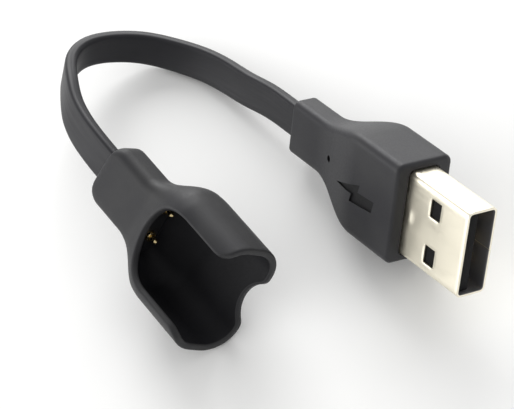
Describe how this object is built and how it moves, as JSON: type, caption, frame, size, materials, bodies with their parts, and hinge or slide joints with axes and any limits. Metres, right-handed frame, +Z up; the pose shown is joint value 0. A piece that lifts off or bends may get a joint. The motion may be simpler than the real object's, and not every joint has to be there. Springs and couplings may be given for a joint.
{
  "type": "usb charging lead with pocket cradle",
  "caption": "Short charging lead: a moulded USB-A plug, a flat cable bent into a loop and an open-fronted pocket cradle with sprung contact pins at its floor.",
  "frame": {"origin": "on the floor under the centre of the bounding box of the plug and cradle assemblies, with the free cable left out", "axes": "+Z is up, away from the floor the lead lies on; -Y is the way the plug and the cradle point, so the cable loop is at +Y; +X is from the cradle to the plug"},
  "size_m": [0.0408, 0.0713, 0.0174],
  "materials": {
    "plated_shell": "bright nickel plate on drawn steel sheet",
    "black_insulator": "moulded black nylon",
    "gold_contact": "thin gold plate on brass",
    "solder": "bright solder",
    "red_wire": "insulated stranded wire",
    "black_wire": "insulated stranded wire",
    "inner_mould": "hot-melt inner mould",
    "charcoal_boot": "matte moulded plastic with a fine grain",
    "cable_jacket": "soft satin cable jacket",
    "charcoal_cradle": "matte moulded plastic with a fine grain",
    "green_board": "coated circuit board",
    "spring_steel": "spring wire"
  },
  "bodies": {
    "lead": {"usb_shell": "plated_shell", "usb_insulator": "black_insulator", "usb_contact_power": "gold_contact", "usb_contact_data_minus": "gold_contact", "usb_contact_data_plus": "gold_contact", "usb_contact_ground": "gold_contact", "usb_rear_shell": "plated_shell", "usb_solder": "solder", "usb_wire_power": "red_wire", "usb_wire_ground": "black_wire", "usb_premould": "inner_mould", "usb_boot": "charcoal_boot", "cable_jacket": "cable_jacket", "cradle_shell": "charcoal_cradle", "cradle_premould": "inner_mould", "cradle_wire_power": "red_wire", "cradle_wire_ground": "black_wire", "cradle_solder": "solder", "contact_board": "green_board", "contact_block": "black_insulator", "pin_barrel_power": "gold_contact", "pin_barrel_ground": "gold_contact", "pin_spring_power": "spring_steel", "pin_spring_ground": "spring_steel"},
    "plunger_power": {"pin_plunger_power": "gold_contact"},
    "plunger_ground": {"pin_plunger_ground": "gold_contact"}
  },
  "joints": [
    {"name": "press_power", "type": "slide", "parent": "lead", "child": "plunger_power", "axis": [0.0139, 0.9944, 0.1045], "range_m": [0, 0.0008], "stiffness_N_per_m": 300, "springref_m": -0.0008, "deforming": ["pin_spring_power"]},
    {"name": "press_ground", "type": "slide", "parent": "lead", "child": "plunger_ground", "axis": [0.0139, 0.9944, 0.1045], "range_m": [0, 0.0008], "stiffness_N_per_m": 300, "springref_m": -0.0008, "deforming": ["pin_spring_ground"]}
  ]
}
